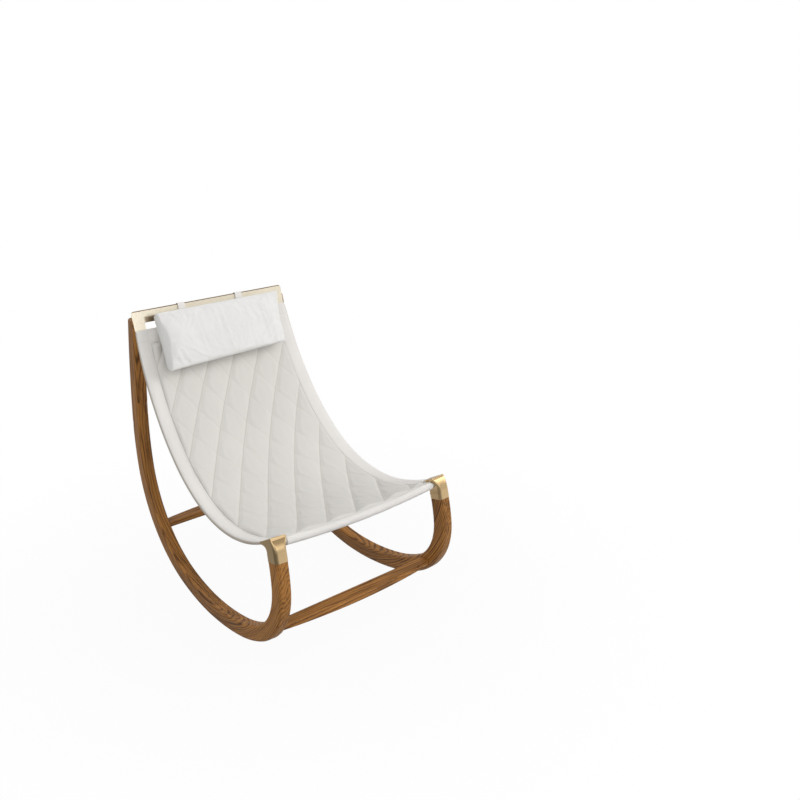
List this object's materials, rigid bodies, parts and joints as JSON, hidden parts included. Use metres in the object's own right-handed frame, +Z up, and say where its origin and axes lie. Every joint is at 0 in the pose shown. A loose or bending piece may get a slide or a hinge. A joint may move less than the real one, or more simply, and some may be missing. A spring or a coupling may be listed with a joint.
{
  "type": "rocking sling chair",
  "caption": "Rocking chair: bent timber rockers, flat bowed stretchers, brass top plate and front ferrules, a quilted sling seat and a head pillow that slides and lifts on straps.",
  "frame": {"origin": "middle of the base rectangle on the floor, under the seat", "axes": "+Z up, the chair faces -Y, +X to its left hand side as it faces"},
  "size_m": [0.6576, 0.9272, 0.9021],
  "materials": {
    "timber": "satin",
    "dowel_wood": "matte",
    "satin_brass": "satin",
    "screw_steel": "satin",
    "sling_cloth": "matte",
    "quilt_cloth": "matte",
    "pillow_cloth": "matte",
    "strap_webbing": "matte"
  },
  "bodies": {
    "chair_frame": {"left_rocker": "timber", "right_rocker": "timber", "front_stretcher": "timber", "rear_stretcher": "timber", "front_left_inner_dowel": "dowel_wood", "front_left_outer_dowel": "dowel_wood", "front_right_inner_dowel": "dowel_wood", "front_right_outer_dowel": "dowel_wood", "rear_left_inner_dowel": "dowel_wood", "rear_left_outer_dowel": "dowel_wood", "rear_right_inner_dowel": "dowel_wood", "rear_right_outer_dowel": "dowel_wood", "top_plate": "satin_brass", "left_ferrule": "satin_brass", "right_ferrule": "satin_brass", "front_rail": "satin_brass", "left_inner_plate_screw": "screw_steel", "left_outer_plate_screw": "screw_steel", "right_inner_plate_screw": "screw_steel", "right_outer_plate_screw": "screw_steel", "left_clamp_screw": "screw_steel", "right_clamp_screw": "screw_steel", "sling": "sling_cloth", "front_hem": "sling_cloth", "top_hem": "sling_cloth", "quilted_pad": "quilt_cloth"},
    "strap_carriage": {"left_strap": "strap_webbing", "right_strap": "strap_webbing"},
    "pillow": {"head_pillow": "pillow_cloth"}
  },
  "joints": [
    {"name": "pillow_slide", "type": "slide", "parent": "chair_frame", "child": "strap_carriage", "axis": [1, 0, 0], "range_m": [-0.08, 0.06]},
    {"name": "pillow_lift", "type": "hinge", "parent": "strap_carriage", "child": "pillow", "pos_m": [0.01, 0.40081, 0.88621], "axis": [-1, 0, 0], "range_deg": [0, 100]}
  ]
}
